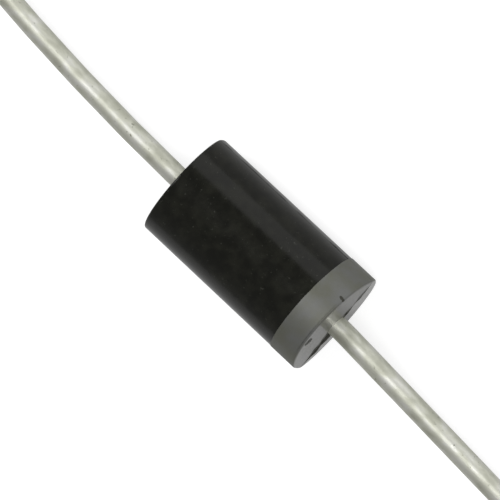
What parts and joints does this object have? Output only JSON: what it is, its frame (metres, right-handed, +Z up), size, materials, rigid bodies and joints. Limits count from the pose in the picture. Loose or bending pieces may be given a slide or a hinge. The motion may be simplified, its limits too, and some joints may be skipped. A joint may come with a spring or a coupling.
{
  "type": "axial rectifier diode",
  "caption": "Moulded axial rectifier diode: a round black epoxy case with a grey cathode band and a tinned wire lead from each end.",
  "frame": {"origin": "middle of the moulded case, on the axis of the leads", "axes": "+X along the leads towards the cathode, +Z up, square to the mould's parting plane, which is XY"},
  "size_m": [0.0602, 0.0054, 0.0054],
  "materials": {
    "epoxy": "fine matt, as moulded",
    "band_ink": "semi-matt printed ink",
    "tinned_copper": "tin plated, slightly dulled",
    "silicon": "etched",
    "solder": "reflowed",
    "silicone": "cured, smooth"
  },
  "bodies": {
    "root": {"case": "epoxy", "cathode_band": "band_ink", "cathode_lead": "tinned_copper", "anode_lead": "tinned_copper", "chip": "silicon", "cathode_solder": "solder", "anode_solder": "solder", "junction_coating": "silicone"}
  },
  "joints": []
}
